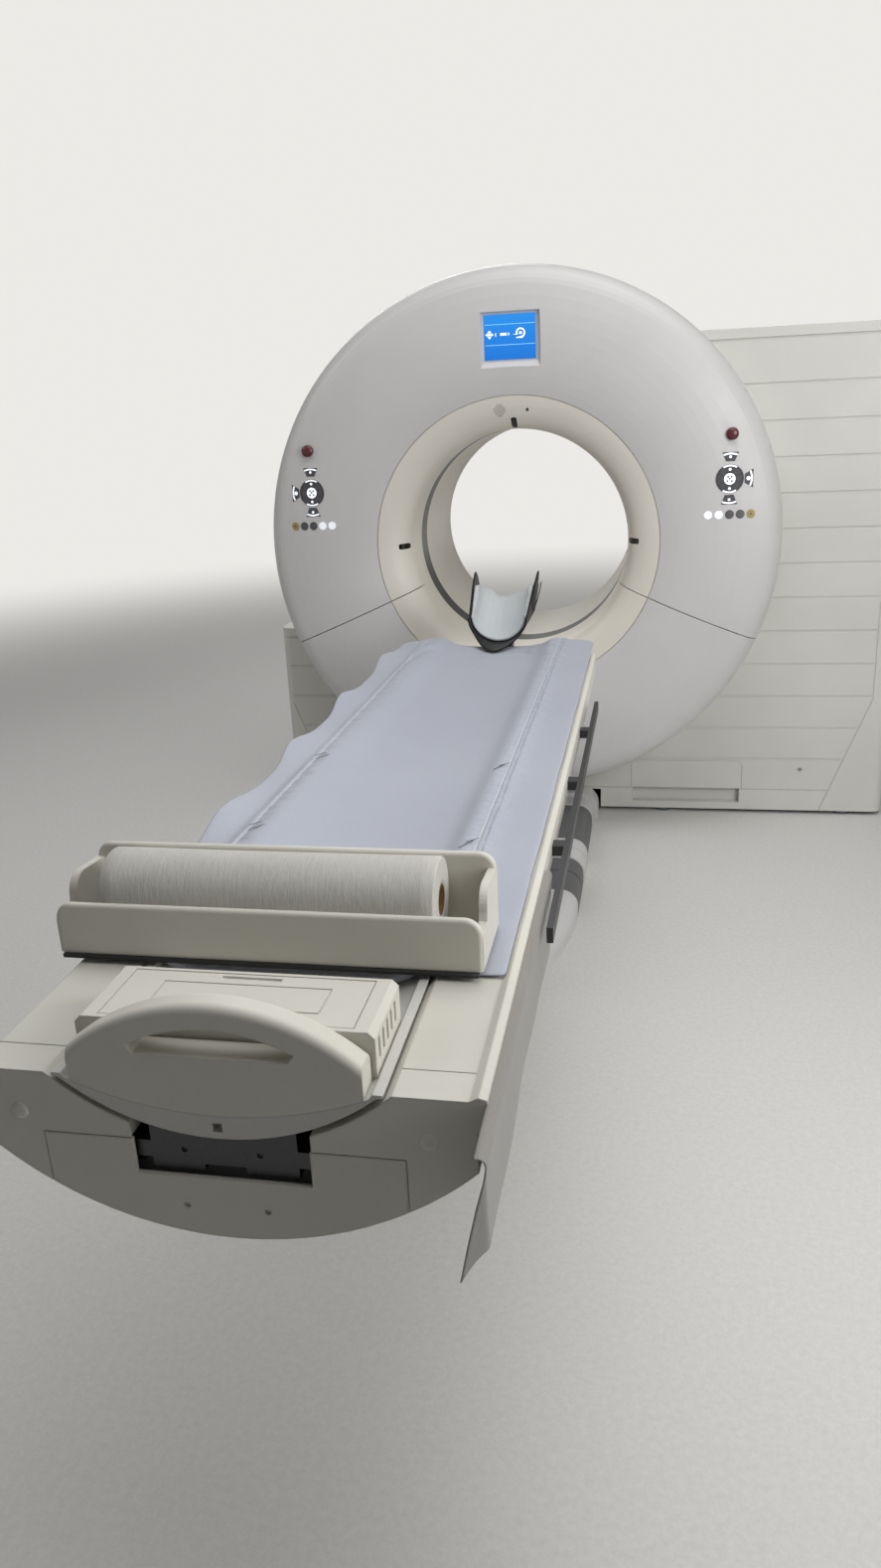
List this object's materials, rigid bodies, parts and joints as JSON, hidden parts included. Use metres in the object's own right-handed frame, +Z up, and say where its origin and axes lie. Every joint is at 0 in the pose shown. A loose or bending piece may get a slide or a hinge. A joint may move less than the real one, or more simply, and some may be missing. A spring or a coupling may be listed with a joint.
{
  "type": "ct scanner",
  "caption": "CT scanner: ring gantry with patient tunnel, grooved body and controls, and a patient table that lifts on a column and slides in.",
  "frame": {"origin": "on the floor directly beneath the centre of the scan plane, on the gantry's floor plate", "axes": "+X to the right seen from the table, +Y into the patient tunnel, +Z up"},
  "size_m": [2.36, 3.946, 2.0109],
  "materials": {
    "cover_white": "satin white",
    "cover_warm": "satin warm white",
    "window_film": "gloss",
    "dark_plastic": "matte",
    "screen_glass": "gloss, lit",
    "stop_red": "gloss",
    "key_white": "gloss, lit",
    "key_gold": "satin",
    "steel_paint": "matte",
    "steel_bare": "satin",
    "copper_wound": "satin",
    "detector_dark": "matte",
    "carbon_top": "satin grey",
    "holder_black": "matte",
    "belt_rubber": "matte",
    "mattress_vinyl": "satin",
    "pad_vinyl": "satin",
    "flap_vinyl": "matte",
    "paper": "matte"
  },
  "bodies": {
    "gantry": {"gantry_base": "steel_paint", "gantry_stand": "steel_paint", "bearing_outer": "steel_bare", "drive_stator": "copper_wound", "brush_block": "dark_plastic", "front_cover_upper": "cover_white", "front_cover_lower": "cover_white", "funnel_upper": "cover_warm", "funnel_lower": "cover_warm", "tunnel_front": "cover_warm", "scan_window": "window_film", "tunnel_rear": "cover_warm", "drum_shell": "cover_warm", "rear_cover": "cover_warm", "body_left": "cover_warm", "body_right": "cover_warm", "service_panel": "cover_warm", "display_screen": "screen_glass", "laser_windows": "dark_plastic", "keypads": "dark_plastic", "table_base": "steel_paint", "base_covers": "cover_white", "base_bands": "dark_plastic", "column_outer": "steel_bare"},
    "rotor": {"rotor_frame": "steel_paint", "bearing_inner": "steel_bare", "slip_ring": "copper_wound", "xray_tubes": "steel_bare", "detectors": "detector_dark", "generators": "steel_paint"},
    "lift_stage": {"column_middle": "steel_bare"},
    "lift": {"column_inner": "steel_bare", "table_frame": "steel_bare", "side_covers": "cover_warm", "belly_cover": "cover_warm", "accessory_rail": "detector_dark", "travel_belt": "belt_rubber", "side_flap": "flap_vinyl"},
    "table": {"tabletop": "carbon_top", "carriage": "detector_dark", "foot_handle": "cover_warm", "foot_box": "cover_warm", "mattress": "mattress_vinyl", "roll_holder": "cover_warm", "paper_roll": "paper", "head_holder": "holder_black", "head_pad": "pad_vinyl"},
    "lid": {"box_lid": "cover_warm"},
    "stop_left": {"stop_button_left": "stop_red"},
    "stop_right": {"stop_button_right": "stop_red"},
    "push_key_left_1": {"key_left_1": "key_white"},
    "push_key_left_2": {"key_left_2": "key_white"},
    "push_key_left_3": {"key_left_3": "dark_plastic"},
    "push_key_left_4": {"key_left_4": "dark_plastic"},
    "push_key_left_5": {"key_left_5": "key_gold"},
    "push_key_right_1": {"key_right_1": "key_white"},
    "push_key_right_2": {"key_right_2": "key_white"},
    "push_key_right_3": {"key_right_3": "dark_plastic"},
    "push_key_right_4": {"key_right_4": "dark_plastic"},
    "push_key_right_5": {"key_right_5": "key_gold"}
  },
  "joints": [
    {"name": "rotor_spin", "type": "hinge", "parent": "gantry", "child": "rotor", "pos_m": [0, 0.12, 1.096], "axis": [0, 1, 0], "continuous": true},
    {"name": "table_lift", "type": "slide", "parent": "gantry", "child": "lift", "axis": [0, 0, 1], "range_m": [-0.37, 0.07]},
    {"name": "stage_lift", "type": "slide", "parent": "gantry", "child": "lift_stage", "axis": [0, 0, 1], "range_m": [-0.185, 0.035]},
    {"name": "table_travel", "type": "slide", "parent": "lift", "child": "table", "axis": [0, 1, 0], "range_m": [0, 1.8]},
    {"name": "lid_hinge", "type": "hinge", "parent": "table", "child": "lid", "pos_m": [0, -3.194, 0.902], "axis": [1, 0, 0], "range_deg": [0, 80]},
    {"name": "stop_left_push", "type": "slide", "parent": "gantry", "child": "stop_left", "axis": [0, 1, 0], "range_m": [0, 0.005], "stiffness_N_per_m": 1200, "springref_m": -0.002},
    {"name": "stop_right_push", "type": "slide", "parent": "gantry", "child": "stop_right", "axis": [0, 1, 0], "range_m": [0, 0.005], "stiffness_N_per_m": 1200, "springref_m": -0.002},
    {"name": "key_left_1_push", "type": "slide", "parent": "gantry", "child": "push_key_left_1", "axis": [0, 1, 0], "range_m": [0, 0.002], "stiffness_N_per_m": 800, "springref_m": -0.001},
    {"name": "key_left_2_push", "type": "slide", "parent": "gantry", "child": "push_key_left_2", "axis": [0, 1, 0], "range_m": [0, 0.002], "stiffness_N_per_m": 800, "springref_m": -0.001},
    {"name": "key_left_3_push", "type": "slide", "parent": "gantry", "child": "push_key_left_3", "axis": [0, 1, 0], "range_m": [0, 0.002], "stiffness_N_per_m": 800, "springref_m": -0.001},
    {"name": "key_left_4_push", "type": "slide", "parent": "gantry", "child": "push_key_left_4", "axis": [0, 1, 0], "range_m": [0, 0.002], "stiffness_N_per_m": 800, "springref_m": -0.001},
    {"name": "key_left_5_push", "type": "slide", "parent": "gantry", "child": "push_key_left_5", "axis": [0, 1, 0], "range_m": [0, 0.002], "stiffness_N_per_m": 800, "springref_m": -0.001},
    {"name": "key_right_1_push", "type": "slide", "parent": "gantry", "child": "push_key_right_1", "axis": [0, 1, 0], "range_m": [0, 0.002], "stiffness_N_per_m": 800, "springref_m": -0.001},
    {"name": "key_right_2_push", "type": "slide", "parent": "gantry", "child": "push_key_right_2", "axis": [0, 1, 0], "range_m": [0, 0.002], "stiffness_N_per_m": 800, "springref_m": -0.001},
    {"name": "key_right_3_push", "type": "slide", "parent": "gantry", "child": "push_key_right_3", "axis": [0, 1, 0], "range_m": [0, 0.002], "stiffness_N_per_m": 800, "springref_m": -0.001},
    {"name": "key_right_4_push", "type": "slide", "parent": "gantry", "child": "push_key_right_4", "axis": [0, 1, 0], "range_m": [0, 0.002], "stiffness_N_per_m": 800, "springref_m": -0.001},
    {"name": "key_right_5_push", "type": "slide", "parent": "gantry", "child": "push_key_right_5", "axis": [0, 1, 0], "range_m": [0, 0.002], "stiffness_N_per_m": 800, "springref_m": -0.001}
  ],
  "couplings": [
    {"joint": "stage_lift", "follows": "table_lift", "ratio": 0.5}
  ]
}
